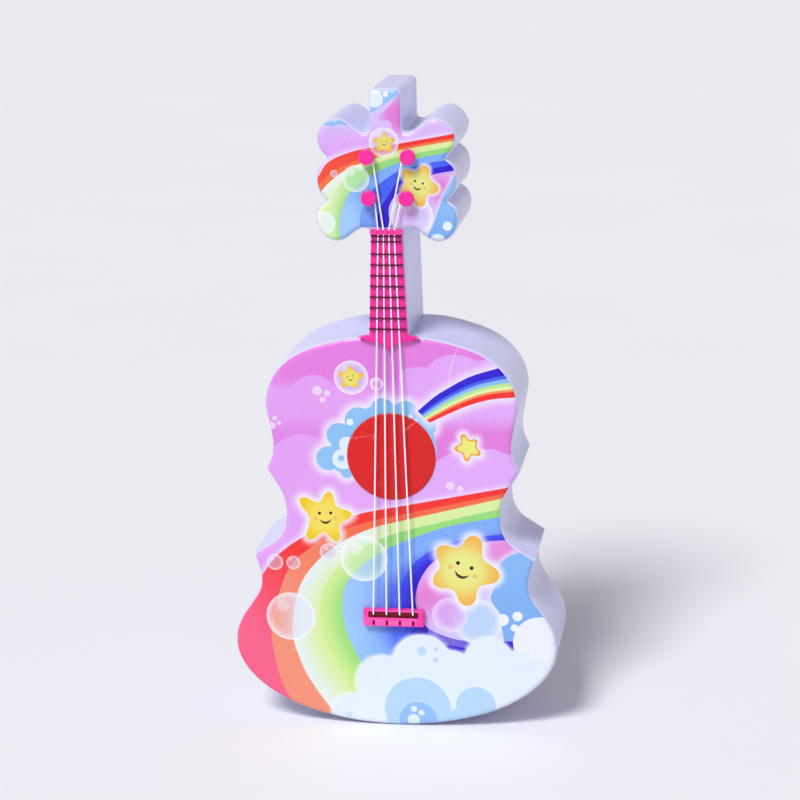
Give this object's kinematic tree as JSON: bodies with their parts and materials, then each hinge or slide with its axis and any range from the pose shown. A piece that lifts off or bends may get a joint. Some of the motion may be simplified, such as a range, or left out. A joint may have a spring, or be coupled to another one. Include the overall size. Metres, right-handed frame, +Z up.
{
  "type": "toy electric guitar",
  "caption": "Toy guitar with a deep violin-shaped hollow body, lobed head, printed front, fretboard, strings on turning pegs, bridge and battery-powered sound unit.",
  "frame": {"origin": "bottom centre of the whole object's box, at the foot of the body", "axes": "+Z up along the neck to the head, the printed front faces -Y, +X to the viewer's right; symmetric about X = 0 outside"},
  "size_m": [0.182, 0.0684, 0.36],
  "materials": {
    "casing_plastic": "satin moulded",
    "printed_film": "printed film with a clear glossy top",
    "red_disc": "glossy",
    "pink_plastic": "glossy moulded",
    "dark_plastic": "matte",
    "string_nylon": "drawn nylon line",
    "steel": "zinc plated",
    "contact_steel": "nickel plated",
    "cell_jacket": "wrapped in film",
    "black_plastic": "fine texture",
    "speaker_steel": "pressed",
    "speaker_paper": "pressed pulp",
    "ferrite": "sintered",
    "board_green": "solder mask",
    "black_resin": "poured resin",
    "brass_sheet": "rolled",
    "ceramic_white": "silvered",
    "wire_red": "insulated wire",
    "wire_black": "insulated wire"
  },
  "bodies": {
    "casing": {"front_shell": "casing_plastic", "rear_cover": "casing_plastic", "body_film": "printed_film", "head_film": "printed_film", "sound_hole_disc": "red_disc", "fretboard": "pink_plastic", "nut": "pink_plastic", "bridge": "pink_plastic", "bridge_slot_insert": "dark_plastic", "string_1": "string_nylon", "string_2": "string_nylon", "string_3": "string_nylon", "string_4": "string_nylon", "cover_screw_1": "steel", "cover_screw_2": "steel", "cover_screw_3": "steel", "cover_screw_4": "steel", "cover_screw_5": "steel", "cover_screw_6": "steel", "board_screw_1": "steel", "board_screw_2": "steel", "speaker_screw_1": "steel", "speaker_screw_2": "steel", "contact_positive": "contact_steel", "contact_bridge_left": "contact_steel", "contact_bridge_right": "contact_steel", "contact_negative": "contact_steel", "switch_body": "contact_steel", "battery_1": "cell_jacket", "battery_2": "cell_jacket", "battery_3": "cell_jacket", "capacitor": "black_plastic", "speaker_frame": "speaker_steel", "speaker_cone": "speaker_paper", "speaker_magnet": "ferrite", "circuit_board": "board_green", "sound_chip": "black_resin", "pickup_disc": "brass_sheet", "pickup_ceramic": "ceramic_white", "speaker_wire_red": "wire_red", "switch_wire_red": "wire_red", "pickup_wire_red": "wire_red", "battery_wire_red": "wire_red", "speaker_wire_black": "wire_black", "switch_wire_black": "wire_black", "pickup_wire_black": "wire_black", "battery_wire_black": "wire_black"},
    "peg_1": {"tuning_peg_1": "pink_plastic", "peg_clip_1": "steel"},
    "peg_2": {"tuning_peg_2": "pink_plastic", "peg_clip_2": "steel"},
    "peg_3": {"tuning_peg_3": "pink_plastic", "peg_clip_3": "steel"},
    "peg_4": {"tuning_peg_4": "pink_plastic", "peg_clip_4": "steel"},
    "door": {"battery_door": "casing_plastic"},
    "door_screw": {"battery_door_screw": "steel"},
    "switch": {"switch_knob": "black_plastic"}
  },
  "joints": [
    {"name": "peg_1_turn", "type": "hinge", "parent": "casing", "child": "peg_1", "pos_m": [-0.009, -0.02775, 0.3019], "axis": [0, 1, 0], "continuous": true},
    {"name": "peg_2_turn", "type": "hinge", "parent": "casing", "child": "peg_2", "pos_m": [-0.0098, -0.02775, 0.3241], "axis": [0, 1, 0], "continuous": true},
    {"name": "peg_3_turn", "type": "hinge", "parent": "casing", "child": "peg_3", "pos_m": [0.0124, -0.02775, 0.3241], "axis": [0, 1, 0], "continuous": true},
    {"name": "peg_4_turn", "type": "hinge", "parent": "casing", "child": "peg_4", "pos_m": [0.0114, -0.02775, 0.3019], "axis": [0, 1, 0], "continuous": true},
    {"name": "door_tilt", "type": "hinge", "parent": "casing", "child": "door", "pos_m": [0, 0.03425, 0.0182], "axis": [-1, 0, 0], "range_deg": [0, 75]},
    {"name": "door_screw_turn", "type": "hinge", "parent": "door", "child": "door_screw", "pos_m": [0, 0.03425, 0.0722], "axis": [0, 1, 0], "continuous": true},
    {"name": "switch_slide", "type": "slide", "parent": "casing", "child": "switch", "axis": [1, 0, 0], "range_m": [0, 0.005]}
  ]
}
